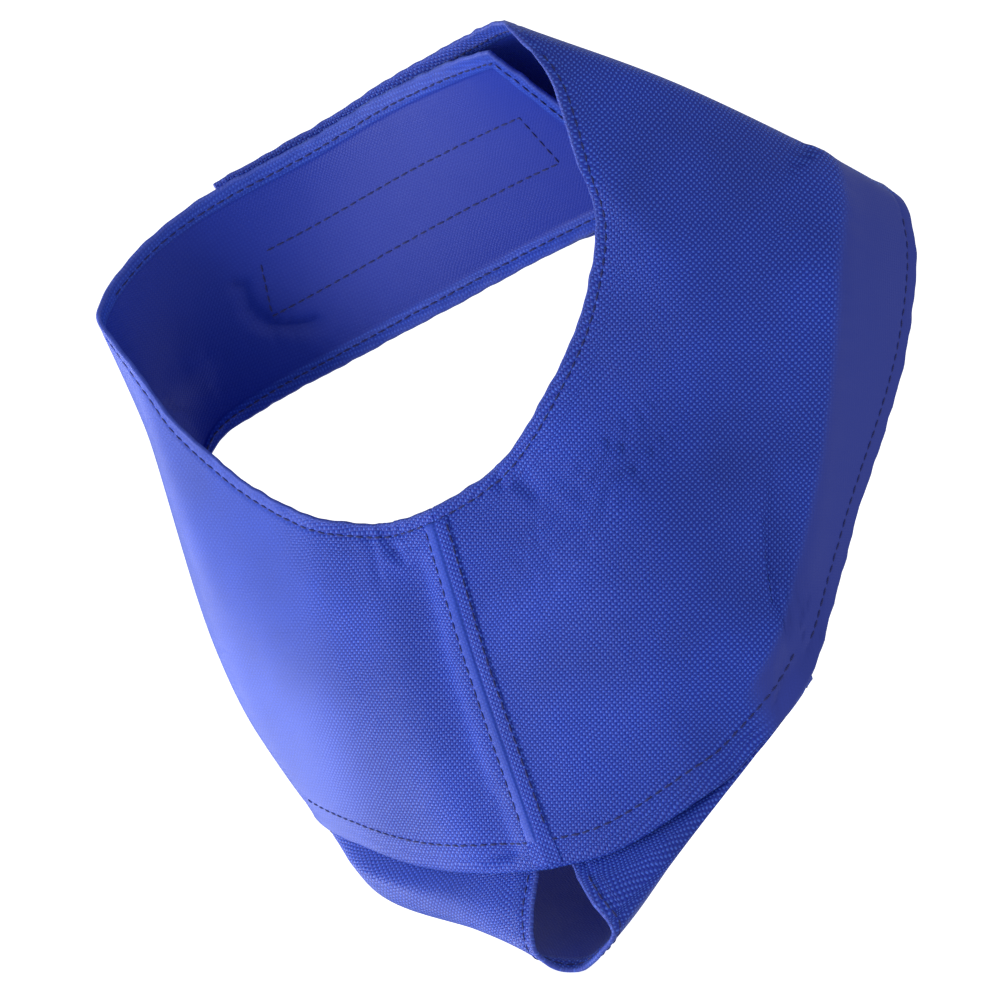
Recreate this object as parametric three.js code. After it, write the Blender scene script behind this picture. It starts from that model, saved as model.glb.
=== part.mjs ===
// Soft fabric face hood for a cat, closed round the neck by two lapped straps with touch-fastening tape.
// Units are millimetres. +Z points up towards the neck opening and -Y towards the animal's face.
// The origin is the centre of the neck ring, level with the two folds where the straps turn back.
import * as THREE from "three";

// Driving dimensions
const FABRIC = 0.8; // thickness of a panel shell
const GAP = 0.3; // clearance between touching pieces
const THREAD_RADIUS = 0.25;
const TAPE_THICKNESS = 1.0;
const TAPE_SHARE = [0.31, 0.69]; // upper and lower edge of both fastening tapes, as shares of the strap's depth
const HEM_STITCH = 3; // neck, cheek and nose hem stitches, in from the edge
const LOWER_STITCH = 6; // lower seam stitch, above the folded edge
const SEAM_WIDTH = 6; // folded strip of the centre seam
const SEAM_THICKNESS = 0.6;
const PANEL_LENGTH = 110; // from the seam along the panel for each whole share, near the seam
const PANEL_START = 0.0015; // shares of the panel's length kept clear at the centre seam and at the fold
const PANEL_END = 0.992;
const STRAP_START = 0.02; // share of the strap's length kept clear at the fold
const LOOP_SPAN = [0.46, 0.925]; // ends of the loop tape, as shares of the inner strap's length
const HOOK_SPAN = [0.47, 0.96]; // ends of the hook tape, as shares of the outer strap's length

// Each station lists a point on the neck rim, one half way down, one on the cheek crease and one on the lower edge.
// Stations run from the centre seam round to the fold where the strap begins.
const RIGHT_STATIONS = [
  [[0, -14, -78.5], [0, -26, -112], [0, -36.5, -148], [0, -39, -158]],
  [[12, -12, -77.5], [14, -26, -114], [15, -34.5, -150], [16, -36, -160.5]],
  [[22, -10, -74.5], [29, -22, -112], [33, -26.5, -148.5], [34, -27, -158.5]],
  [[33, -8, -68], [43, -15, -106], [43, -18.5, -147], [43.5, -19, -156]],
  [[46, -2, -57], [57, -6, -96], [58, -5, -135], [60, -5, -146]],
  [[55, 2, -45.5], [67, 2, -82], [75, 9, -111], [78, 16, -120]],
  [[60, 3.5, -36], [73, 7, -68], [88, 19, -88], [91.5, 32, -101]],
  [[62, 2.5, -25], [77, 12, -52], [95, 26, -72], [98, 42, -88]],
  [[65, 3, -6], [82, 20, -34], [98, 36, -61], [102, 49, -77]],
  [[62.5, 1, 8], [82, 23, -21], [97.5, 44, -51.5], [103, 55, -66]],
];
const LEFT_STATIONS = [
  [[0, -14, -78.5], [0, -26, -112], [0, -36.5, -148], [0, -39, -158]],
  [[-12, -12, -77.5], [-14, -26, -113], [-15, -34, -144], [-16, -35.5, -154]],
  [[-22, -10, -74], [-29, -22, -110], [-33, -27, -139], [-34, -28, -148.5]],
  [[-33, -8, -68], [-43, -16, -103], [-50, -18, -130], [-51, -18.5, -140.5]],
  [[-46, -2, -57], [-57, -8, -93], [-67, -6, -121], [-69, -4, -131]],
  [[-54, 2, -47], [-68, 0, -80], [-77, 3, -107], [-78, 14, -118]],
  [[-60, 4, -36], [-73, 6, -66], [-82.5, 12, -92], [-86, 29, -103]],
  [[-62, 4, -26], [-75, 11, -54], [-86, 22, -78], [-93, 41, -91]],
  [[-63.5, 3, -16], [-76, 17, -42], [-89, 33, -67], [-98, 49, -81]],
  [[-63.5, 0, -8], [-77, 21, -32], [-91, 42, -57], [-99, 54, -72]],
];
// Straps: a point on the upper edge and one on the lower edge, from the fold to the free end.
const OUTER_STRAP = [
  [[62.5, 1, 8], [103, 55, -66]],
  [[57, 11, 9], [93, 57, -57]],
  [[48, 21, 10], [70, 51, -48]],
  [[35, 29.5, 10], [44, 47, -43]],
  [[14, 36, 9.5], [18, 45, -41.5]],
  [[-12, 37, 7.5], [-14, 45.5, -41]],
  [[-38, 30.5, 6.5], [-43, 47, -42]],
];
const INNER_STRAP = [
  [[-63.5, 0, -8], [-99, 54, -72]],
  [[-60, 7, -3], [-89, 50, -56]],
  [[-50, 16.5, 2.4], [-77, 45, -47]],
  [[-36, 25, 5], [-59, 42, -44.5]],
  [[-12, 32, 5.5], [-34, 40.5, -43.5]],
  [[12, 31.3, 7], [-2, 40, -42.5]],
  [[33, 25, 6.5], [30, 41, -41.5]],
  [[48, 15.5, 5], [62, 40, -41.5]],
];
// Chin band below the lower seam: rows from the nose opening back to the throat, each from left to right.
const CHIN_ROWS = [
  [[-7, -43.5, -166], [-8, -46.5, -174], [-3, -43, -180.5], [10.5, -46, -176], [8, -43.5, -167.5]],
  [[-28, -34, -157.5], [-24, -34, -166], [0, -27, -176], [23, -33, -168.5], [26, -33, -164.5]],
  [[-55, -19, -146], [-47, -16, -156], [0, -9, -166], [42, -13, -155.5], [48, -15, -154.5]],
  [[-67, -2, -136], [-53, 4, -146], [0, 8, -157], [47, 4, -148], [57, 0, -147.5]],
];
const SLOT_START = 0.03; // share of the panel's length kept clear beside the nose opening
const CHEEK_CORNER = 0.444; // share of the panel's length at the lower corner of the cheek hem
const CHIN_TUCK = 0.86; // how far up the panel the band is tucked, as a share of its depth
const TUCK_DEPTH = 1.9; // how far inside the panel the band lies

// Where the sewing runs, as shares of each piece
const PANEL_SEWING = [0.04, 0.97]; // neck hem, from near the seam to near the fold
const LOWER_END = 0.01; // lower seam stops this short of the cheek corner
const CHEEK_GAP = 0.02; // cheek hem starts this far past the corner
const SEAM_ROWS = { right: 0.9, left: 0.1 }; // the two rows across the centre seam fold
const SEAM_SEWING = [0.03, 0.91];
const CHIN_SEWING = [0.16, 0.84];
const NOSE_ROW = 0.07;
const THROAT_ROW = 0.94;
const TAPE_INSET = 0.04; // tape stitching, in from the tape's long edges
const LOOP_SEWING = [0.475, 0.915];
const HOOK_SEWING = [0.485, 0.945];
const OPEN_STITCH = [0.01, 0.02]; // room left where the rectangle's thread starts and ends
const STRAP_HEM = { start: 0.05, finish: 0.12, end: 0.975, share: 0.055 };
const STRAP_HEM_TURNS = [0.42, 0.58]; // how far along the thread it turns down the free end and back
const NORMAL_STEP = 0.01; // share of a surface over which its normal is measured

const hood = new THREE.Group();
hood.name = "cat_face_hood";

const MATERIALS = {
  cloth: new THREE.MeshStandardMaterial({ color: 0x3550c4, roughness: 0.7, side: THREE.DoubleSide }),
  tape: new THREE.MeshStandardMaterial({ color: 0x2b3fa8, roughness: 0.9 }),
  thread: new THREE.MeshStandardMaterial({ color: 0x1e2d82, roughness: 0.8 }),
};

function vec(p) {
  return new THREE.Vector3(p[0], p[1], p[2]);
}

function between(a, b, share) {
  return a + (b - a) * share;
}

function curveThrough(points) {
  return new THREE.CatmullRomCurve3(points, false, "catmullrom", 0.5);
}

// A smooth surface through rows of points: s runs along the stations, t across them.
function surfaceThrough(stations) {
  const rows = stations[0].map((_, r) => curveThrough(stations.map((st) => vec(st[r]))));
  return (s, t) => {
    const across = rows.map((row) => row.getPoint(THREE.MathUtils.clamp(s, 0, 1)));
    if (across.length === 2) return across[0].lerp(across[1], t);
    return curveThrough(across).getPoint(THREE.MathUtils.clamp(t, 0, 1));
  };
}

// Unit normal of a surface; side is 1 or -1 so that it points out of the hood.
function normalOf(surface, side, s, t) {
  const alongA = surface(Math.max(s - NORMAL_STEP, 0), t);
  const alongB = surface(Math.min(s + NORMAL_STEP, 1), t);
  const acrossA = surface(s, Math.max(t - NORMAL_STEP, 0));
  const acrossB = surface(s, Math.min(t + NORMAL_STEP, 1));
  return alongB.sub(alongA).cross(acrossB.sub(acrossA)).normalize().multiplyScalar(side);
}

function offsetPoint(surface, side, s, t, distance) {
  return surface(s, t).addScaledVector(normalOf(surface, side, s, t), distance);
}

// Closed shell between two offsets of a surface, over a patch of it.
function shell(surface, side, inner, outer, columns, rows, patch) {
  const range = patch || { s0: 0, s1: 1, t0: 0, t1: 1 };
  const positions = [];
  const count = (columns + 1) * (rows + 1);
  for (const offset of [inner, outer])
    for (let i = 0; i <= columns; i++)
      for (let j = 0; j <= rows; j++) {
        const s = range.s0 + ((range.s1 - range.s0) * i) / columns;
        const t = range.t0 + ((range.t1 - range.t0) * j) / rows;
        positions.push(...offsetPoint(surface, side, s, t, offset).toArray());
      }
  const index = [];
  const at = (layer, i, j) => layer * count + i * (rows + 1) + j;
  const quad = (a, b, c, d) => index.push(a, b, c, a, c, d);
  for (let i = 0; i < columns; i++)
    for (let j = 0; j < rows; j++) {
      quad(at(1, i, j), at(1, i + 1, j), at(1, i + 1, j + 1), at(1, i, j + 1));
      quad(at(0, i, j), at(0, i, j + 1), at(0, i + 1, j + 1), at(0, i + 1, j));
    }
  for (let i = 0; i < columns; i++) {
    quad(at(0, i, 0), at(0, i + 1, 0), at(1, i + 1, 0), at(1, i, 0));
    quad(at(0, i + 1, rows), at(0, i, rows), at(1, i, rows), at(1, i + 1, rows));
  }
  for (let j = 0; j < rows; j++) {
    quad(at(0, 0, j + 1), at(0, 0, j), at(1, 0, j), at(1, 0, j + 1));
    quad(at(0, columns, j), at(0, columns, j + 1), at(1, columns, j + 1), at(1, columns, j));
  }
  if (side < 0) index.reverse();
  const geometry = new THREE.BufferGeometry();
  geometry.setAttribute("position", new THREE.Float32BufferAttribute(positions, 3));
  geometry.setIndex(index);
  geometry.computeVertexNormals();
  return geometry;
}

// Sewing thread: a fine square-section tube through the given points.
function threadGeometry(points) {
  const path = curveThrough(points);
  const section = new THREE.Shape();
  section.moveTo(THREAD_RADIUS, 0);
  section.lineTo(0, THREAD_RADIUS);
  section.lineTo(-THREAD_RADIUS, 0);
  section.lineTo(0, -THREAD_RADIUS);
  return new THREE.ExtrudeGeometry(section, { steps: points.length - 1, bevelEnabled: false, extrudePath: path });
}

function add(name, geometry, material) {
  const mesh = new THREE.Mesh(geometry, material.clone());
  mesh.name = name;
  hood.add(mesh);
}

// Points for a thread that lies on a surface along a line given by a function of u.
function threadLine(surface, side, line, steps, lift) {
  const height = lift === undefined ? FABRIC / 2 + GAP + THREAD_RADIUS : lift;
  const points = [];
  for (let k = 0; k <= steps; k++) {
    const [s, t] = line(k / steps);
    points.push(offsetPoint(surface, side, s, t, height));
  }
  return points;
}

// Share of the way across a surface at which a line lies a given distance in from an edge: edge is 0 or 1.
function insetShare(surface, s, edge, distance) {
  const step = edge ? -NORMAL_STEP : NORMAL_STEP;
  let t = edge;
  let walked = 0;
  let before = surface(s, t);
  while (walked < distance) {
    t += step;
    const here = surface(s, t);
    walked += here.distanceTo(before);
    before = here;
  }
  return t;
}

const rightPanel = surfaceThrough(RIGHT_STATIONS);
const leftPanel = surfaceThrough(LEFT_STATIONS);
const outerStrap = surfaceThrough(OUTER_STRAP);
const innerStrap = surfaceThrough(INNER_STRAP);
const HALF = FABRIC / 2;
const RIGHT = -1; // sides that turn each surface's normal out of the hood
const LEFT = 1;
const CHIN = 1;

// Face panels
const panelPatch = { s0: PANEL_START, s1: PANEL_END, t0: 0, t1: 1 };
add("right_face_panel", shell(rightPanel, RIGHT, -HALF, HALF, 27, 10, panelPatch), MATERIALS.cloth);
add("left_face_panel", shell(leftPanel, LEFT, -HALF, HALF, 27, 10, panelPatch), MATERIALS.cloth);

// Centre seam fold: a narrow lapped strip over the joint, from the neck rim to the lower edge
const seamSurface = (s, t) => {
  const across = (s - 0.5) * SEAM_WIDTH;
  const panel = across > 0 ? rightPanel : leftPanel;
  const side = across > 0 ? RIGHT : LEFT;
  const along = Math.max(Math.abs(across) / PANEL_LENGTH, PANEL_START);
  return offsetPoint(panel, side, along, t, HALF + GAP + SEAM_THICKNESS / 2);
};
const foldPatch = { s0: 0, s1: 1, t0: 0.01, t1: 0.99 };
const foldHalf = SEAM_THICKNESS / 2;
add("centre_seam_fold", shell(seamSurface, RIGHT, -foldHalf, foldHalf, 4, 12, foldPatch), MATERIALS.cloth);

// Straps, cut in one with the panels and hinged at the folds
const strapPatch = { s0: STRAP_START, s1: 1, t0: 0, t1: 1 };
add("outer_strap", shell(outerStrap, RIGHT, -HALF, HALF, 18, 4, strapPatch), MATERIALS.cloth);
add("inner_strap", shell(innerStrap, LEFT, -HALF, HALF, 20, 4, strapPatch), MATERIALS.cloth);

// Fastening tapes: loops on the outer face of the inner strap, hooks on the inner face of the outer strap
const tapeNear = HALF + GAP;
const tapeFar = tapeNear + TAPE_THICKNESS;
const loopPatch = { s0: LOOP_SPAN[0], s1: LOOP_SPAN[1], t0: TAPE_SHARE[0], t1: TAPE_SHARE[1] };
const hookPatch = { s0: HOOK_SPAN[0], s1: HOOK_SPAN[1], t0: TAPE_SHARE[0], t1: TAPE_SHARE[1] };
add("loop_tape", shell(innerStrap, LEFT, tapeNear, tapeFar, 12, 2, loopPatch), MATERIALS.tape);
add("hook_tape", shell(outerStrap, RIGHT, -tapeFar, -tapeNear, 12, 2, hookPatch), MATERIALS.tape);

// Chin band: tucked inside the panels at the top, closed under the chin, open at the nose and the throat
const chinFree = CHIN_ROWS[0].map((_, k) => curveThrough(CHIN_ROWS.map((row) => vec(row[k]))));
const chinSurface = (s, t) => {
  const along = SLOT_START + (CHEEK_CORNER - SLOT_START) * t;
  const points = [
    offsetPoint(leftPanel, LEFT, along, CHIN_TUCK, -TUCK_DEPTH),
    offsetPoint(leftPanel, LEFT, along, 1, -TUCK_DEPTH),
    ...chinFree.map((row) => row.getPoint(t)),
    offsetPoint(rightPanel, RIGHT, along, 1, -TUCK_DEPTH),
    offsetPoint(rightPanel, RIGHT, along, CHIN_TUCK, -TUCK_DEPTH),
  ];
  return curveThrough(points).getPoint(s);
};
add("chin_band", shell(chinSurface, CHIN, -HALF, HALF, 32, 8), MATERIALS.cloth);

// Sewing threads
const panelSides = [["right", rightPanel, RIGHT], ["left", leftPanel, LEFT]];
for (const [word, panel, side] of panelSides) {
  const neck = (u) => {
    const s = between(PANEL_SEWING[0], PANEL_SEWING[1], u);
    return [s, insetShare(panel, s, 0, HEM_STITCH)];
  };
  const lower = (u) => {
    const s = between(PANEL_SEWING[0], CHEEK_CORNER - LOWER_END, u);
    return [s, insetShare(panel, s, 1, LOWER_STITCH)];
  };
  const cheek = (u) => {
    const s = between(CHEEK_CORNER + CHEEK_GAP, PANEL_SEWING[1], u);
    return [s, insetShare(panel, s, 1, HEM_STITCH)];
  };
  const sew = (name, line, steps) =>
    add(`${name}_${word}`, threadGeometry(threadLine(panel, side, line, steps)), MATERIALS.thread);
  sew("neck_hem_thread", neck, 30);
  sew("lower_seam_thread", lower, 20);
  sew("cheek_hem_thread", cheek, 20);
}
const seamLift = foldHalf + GAP + THREAD_RADIUS;
for (const [word, place] of Object.entries(SEAM_ROWS)) {
  const row = (u) => [place, between(SEAM_SEWING[0], SEAM_SEWING[1], u)];
  const points = threadLine(seamSurface, RIGHT, row, 12, seamLift);
  add(`centre_seam_thread_${word}`, threadGeometry(points), MATERIALS.thread);
}
const noseLine = (u) => [between(CHIN_SEWING[0], CHIN_SEWING[1], u), NOSE_ROW];
const throatLine = (u) => [between(CHIN_SEWING[0], CHIN_SEWING[1], u), THROAT_ROW];
add("nose_hem_thread", threadGeometry(threadLine(chinSurface, CHIN, noseLine, 26)), MATERIALS.thread);
add("throat_hem_thread", threadGeometry(threadLine(chinSurface, CHIN, throatLine, 26)), MATERIALS.thread);

// Stitching round a rectangle, left open by one stitch where the thread ends
function rectangleLine(s0, s1, t0, t1) {
  const corners = [[s0 + OPEN_STITCH[0], t0], [s1, t0], [s1, t1], [s0, t1], [s0, t0 + OPEN_STITCH[1]]];
  return (u) => {
    const place = u * 4;
    const k = Math.min(Math.floor(place), 3);
    const share = place - k;
    return [0, 1].map((axis) => between(corners[k][axis], corners[k + 1][axis], share));
  };
}
const insideLift = -(HALF + GAP + THREAD_RADIUS);
const tapeTop = TAPE_SHARE[0] + TAPE_INSET;
const tapeBottom = TAPE_SHARE[1] - TAPE_INSET;
const loopLine = rectangleLine(LOOP_SEWING[0], LOOP_SEWING[1], tapeTop, tapeBottom);
const hookLine = rectangleLine(HOOK_SEWING[0], HOOK_SEWING[1], tapeTop, tapeBottom);
add("loop_tape_thread", threadGeometry(threadLine(innerStrap, LEFT, loopLine, 48, insideLift)), MATERIALS.thread);
add("hook_tape_thread", threadGeometry(threadLine(outerStrap, RIGHT, hookLine, 48)), MATERIALS.thread);

// Strap hems: along the top, down the free end and back along the bottom
function strapHem(u) {
  const { start, finish, end, share } = STRAP_HEM;
  const [down, back] = STRAP_HEM_TURNS;
  if (u < down) return [between(start, end, u / down), share];
  if (u < back) return [end, between(share, 1 - share, (u - down) / (back - down))];
  return [between(end, finish, (u - back) / (1 - back)), 1 - share];
}
const innerHemPoints = threadLine(innerStrap, LEFT, strapHem, 50, insideLift);
const outerHemPoints = threadLine(outerStrap, RIGHT, strapHem, 50);
add("inner_strap_hem_thread", threadGeometry(innerHemPoints), MATERIALS.thread);
add("outer_strap_hem_thread", threadGeometry(outerHemPoints), MATERIALS.thread);

export default hood;
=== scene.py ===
import math

import bpy
import numpy as np
from bpy.props import FloatProperty, FloatVectorProperty, PointerProperty
from mathutils import Matrix, Vector


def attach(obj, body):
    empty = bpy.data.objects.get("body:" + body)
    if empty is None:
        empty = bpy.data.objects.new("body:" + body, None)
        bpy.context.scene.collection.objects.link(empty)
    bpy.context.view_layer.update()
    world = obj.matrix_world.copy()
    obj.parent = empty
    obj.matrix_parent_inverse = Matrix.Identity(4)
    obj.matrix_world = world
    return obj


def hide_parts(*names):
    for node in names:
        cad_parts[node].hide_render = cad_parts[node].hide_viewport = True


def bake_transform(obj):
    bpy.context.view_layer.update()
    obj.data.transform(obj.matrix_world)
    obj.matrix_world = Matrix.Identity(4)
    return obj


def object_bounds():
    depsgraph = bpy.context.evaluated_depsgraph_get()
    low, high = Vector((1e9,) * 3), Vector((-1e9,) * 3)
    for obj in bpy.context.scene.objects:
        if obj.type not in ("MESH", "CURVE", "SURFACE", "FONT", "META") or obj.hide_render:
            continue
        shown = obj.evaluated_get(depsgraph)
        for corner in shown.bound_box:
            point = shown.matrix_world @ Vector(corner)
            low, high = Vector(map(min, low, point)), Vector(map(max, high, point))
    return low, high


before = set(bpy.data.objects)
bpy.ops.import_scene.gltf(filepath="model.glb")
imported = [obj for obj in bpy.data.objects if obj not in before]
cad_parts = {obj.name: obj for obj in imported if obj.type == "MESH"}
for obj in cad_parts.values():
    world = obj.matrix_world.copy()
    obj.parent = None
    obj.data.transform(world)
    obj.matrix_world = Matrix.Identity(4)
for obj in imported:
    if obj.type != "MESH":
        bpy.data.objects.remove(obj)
CAD_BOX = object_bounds()

bl_info = {
    "name": "Cat Face Hood",
    "version": (1, 0, 0),
    "blender": (4, 5, 0),
    "location": "View3D > Sidebar > Face Hood",
    "description": "Makes a woven nylon face hood for a cat, with its straps, hems, stitching and stage",
    "category": "Add Mesh",
}

MM = 0.001

# The cloth's shape in millimetres: +Z up to the neck opening, -Y to the animal's face, origin in the neck ring.
# Each station is a point on the neck rim, one half way down, one on the cheek crease and one on the lower edge.
# Stations run from the centre seam round to the fold where the strap turns back.
RIGHT_STATIONS = np.array([
    [[0, -14, -78.5], [0, -26, -112], [0, -36.5, -148], [0, -39, -158]],
    [[12, -12, -77.5], [14, -26, -114], [15, -34.5, -150], [16, -36, -160.5]],
    [[22, -10, -74.5], [29, -22, -112], [33, -26.5, -148.5], [34, -27, -158.5]],
    [[33, -8, -68], [43, -15, -106], [43, -18.5, -147], [43.5, -19, -156]],
    [[46, -2, -57], [57, -6, -96], [58, -5, -135], [60, -5, -146]],
    [[55, 2, -45.5], [67, 2, -82], [75, 9, -111], [78, 16, -120]],
    [[60, 3.5, -36], [73, 7, -68], [88, 19, -88], [91.5, 32, -101]],
    [[62, 2.5, -25], [77, 12, -52], [95, 26, -72], [98, 42, -88]],
    [[65, 3, -6], [82, 20, -34], [98, 36, -61], [102, 49, -77]],
    [[62.5, 1, 8], [82, 23, -21], [97.5, 44, -51.5], [103, 55, -66]],
]) * MM
LEFT_STATIONS = np.array([
    [[0, -14, -78.5], [0, -26, -112], [0, -36.5, -148], [0, -39, -158]],
    [[-12, -12, -77.5], [-14, -26, -113], [-15, -34, -144], [-16, -35.5, -154]],
    [[-22, -10, -74], [-29, -22, -110], [-33, -27, -139], [-34, -28, -148.5]],
    [[-33, -8, -68], [-43, -16, -103], [-50, -18, -130], [-51, -18.5, -140.5]],
    [[-46, -2, -57], [-57, -8, -93], [-67, -6, -121], [-69, -4, -131]],
    [[-54, 2, -47], [-68, 0, -80], [-77, 3, -107], [-78, 14, -118]],
    [[-60, 4, -36], [-73, 6, -66], [-82.5, 12, -92], [-86, 29, -103]],
    [[-62, 4, -26], [-75, 11, -54], [-86, 22, -78], [-93, 41, -91]],
    [[-63.5, 3, -16], [-76, 17, -42], [-89, 33, -67], [-98, 49, -81]],
    [[-63.5, 0, -8], [-77, 21, -32], [-91, 42, -57], [-99, 54, -72]],
]) * MM
# Straps: a point on the upper edge and one on the lower edge, from the fold to the free end.
OUTER_STRAP = np.array([
    [[62.5, 1, 8], [103, 55, -66]],
    [[57, 11, 9], [93, 57, -57]],
    [[48, 21, 10], [70, 51, -48]],
    [[35, 29.5, 10], [44, 47, -43]],
    [[14, 36, 9.5], [18, 45, -41.5]],
    [[-12, 37, 7.5], [-14, 45.5, -41]],
    [[-38, 30.5, 6.5], [-43, 47, -42]],
]) * MM
INNER_STRAP = np.array([
    [[-63.5, 0, -8], [-99, 54, -72]],
    [[-60, 7, -3], [-89, 50, -56]],
    [[-50, 16.5, 2.4], [-77, 45, -47]],
    [[-36, 25, 5], [-59, 42, -44.5]],
    [[-12, 32, 5.5], [-34, 40.5, -43.5]],
    [[12, 31.3, 7], [-2, 40, -42.5]],
    [[33, 25, 6.5], [30, 41, -41.5]],
    [[48, 15.5, 5], [62, 40, -41.5]],
]) * MM
# Chin band: rows from the nose opening back to the throat, each from left to right.
CHIN_ROWS = np.array([
    [[-7, -43.5, -166], [-8, -46.5, -174], [-3, -43, -180.5], [10.5, -46, -176], [8, -43.5, -167.5]],
    [[-28, -34, -157.5], [-24, -34, -166], [0, -27, -176], [23, -33, -168.5], [26, -33, -164.5]],
    [[-55, -19, -146], [-47, -16, -156], [0, -9, -166], [42, -13, -155.5], [48, -15, -154.5]],
    [[-67, -2, -136], [-53, 4, -146], [0, 8, -157], [47, 4, -148], [57, 0, -147.5]],
]) * MM
SLOT_START = 0.03  # share of the panel's length kept clear beside the nose opening
CHEEK_CORNER = 0.444  # share of the panel's length at the lower corner of the cheek hem
CHIN_TUCK = 0.86  # how far up the panel the chin band is tucked, as a share of its depth
TUCK_DEPTH = 1.9 * MM  # how far inside the panel the chin band lies
BAND_SHARE = 12  # turns a distance from the chin band's edges, in metres, into a share of the band, roughly
RIGHT, LEFT, CHIN = -1, 1, -1  # sides that turn each surface's normal out of the hood

# Rows of the mesh beside an edge, in millimetres from it: close together where the hem turns and is stitched.
EDGE_ROWS = np.array([0, 0.25, 0.7, 1.4, 2.2, 2.7, 3.0, 3.3, 3.9, 4.4, 4.8, 5.4, 6.0, 6.6, 7.4]) * MM
HEM_ROW = 6  # its row of stitches
BAND_ROW = 12  # the row of stitches above the lower seam
SEAM_COLUMNS = np.array([0.15, 0.8, 1.5, 2.2, 2.9, 3.6, 4.4, 5.2, 6.2]) * MM  # columns beside the centre seam
COLUMN_PITCH = 1.15 * MM  # between the mesh's other columns
MIDDLE_ROWS = 58  # how many rows of a half cloth lie between its edge rows
FOLD_BLEND = 0.36  # share of a strap's length over which it comes away from its panel's own edge
FOLD_PASSES = 10  # how often the columns by the fold are evened out, to round it

HEM_STEP = 0.25 * MM  # half the width over which a hem's second layer ends
PULL_PERIOD = 2.6 * MM  # from one tight place of a groove to the next
EDGE_WAVE = 0.35 * MM  # how far a loose edge waves out of its surface
EDGE_DRIFT = 0.3 * MM  # and how far it is pulled in along it
COATING_FILL = 0.6  # how far the coating fills the weave at the back of the cloth
TAPE_SPAN = (0.34, 0.66)  # the tapes' edges, as shares of the strap's width
TAPE_SEWING = (0.37, 0.63)  # and their stitches
LOOP_TAPE, LOOP_SEWING = (0.46, 0.925), (0.475, 0.915)  # where each begins and ends, as shares of its strap's length
HOOK_TAPE, HOOK_SEWING = (0.47, 0.96), (0.485, 0.945)

LAMP_DISTANCE = 1.2  # in metres from the hood
STAGE_RADIUS = 6  # in metres, well inside the camera's reach


# ---------------------------------------------------------------------------------------------- colour and nodes

def linear(hex_colour):
    """The linear RGBA of an sRGB hex colour."""
    parts = [int(hex_colour[k:k + 2], 16) / 255 for k in (1, 3, 5)]
    return tuple(p / 12.92 if p <= 0.04045 else ((p + 0.055) / 1.055) ** 2.4 for p in parts) + (1.0,)


def add_node(tree, kind, settings=None, **inputs):
    """Adds a node, sets its properties, and sets or links its inputs, whose names are written with underscores."""
    node = tree.nodes.new(kind)
    for key, value in (settings or {}).items():
        setattr(node, key, value)
    for key, value in inputs.items():
        words = key.replace("_", " ")
        socket = node.inputs[int(key[1:])] if key[1:].isdigit() else node.inputs[words]
        if isinstance(value, bpy.types.NodeSocket):
            tree.links.new(value, socket)
        else:
            socket.default_value = value
    return node


def mix_colour(tree, share, first, second, blend="MIX"):
    """The colour between two others, each a colour or a socket, at a share that is a number or a socket."""
    settings = {"data_type": "RGBA", "blend_type": blend}
    return add_node(tree, "ShaderNodeMix", settings, Factor=share, i6=first, i7=second).outputs[2]


def new_material(name):
    """A material with an empty node tree and its output, ready for a surface shader."""
    material = bpy.data.materials.new(name)
    material.use_nodes = True
    material.node_tree.nodes.clear()
    return material, material.node_tree


def finished(material, tree, colour, bump, **surface):
    """The material, with its surface joined to its output."""
    shader = add_node(tree, "ShaderNodeBsdfPrincipled", None, Base_Color=colour, Normal=bump.outputs[0], **surface)
    add_node(tree, "ShaderNodeOutputMaterial", None, Surface=shader.outputs[0])
    return material


def maths(tree, operation, *values):
    """The result of a sum on numbers or sockets."""
    given = {f"i{k}": value for k, value in enumerate(values)}
    return add_node(tree, "ShaderNodeMath", {"operation": operation}, **given).outputs[0]


def mapped(tree, value, kind="LINEAR", **limits):
    """A socket's value moved from one range to another."""
    return add_node(tree, "ShaderNodeMapRange", {"interpolation_type": kind}, Value=value, **limits).outputs[0]


def flat_noise(tree, place, **sizes):
    """Noise over the cloth's flat pattern."""
    return add_node(tree, "ShaderNodeTexNoise", {"noise_dimensions": "2D"}, Vector=place.outputs[0], **sizes)


def share_of(tree, word):
    """The share that each point of the mesh gives by this name."""
    return add_node(tree, "ShaderNodeAttribute", {"attribute_name": word}).outputs["Fac"]


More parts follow.
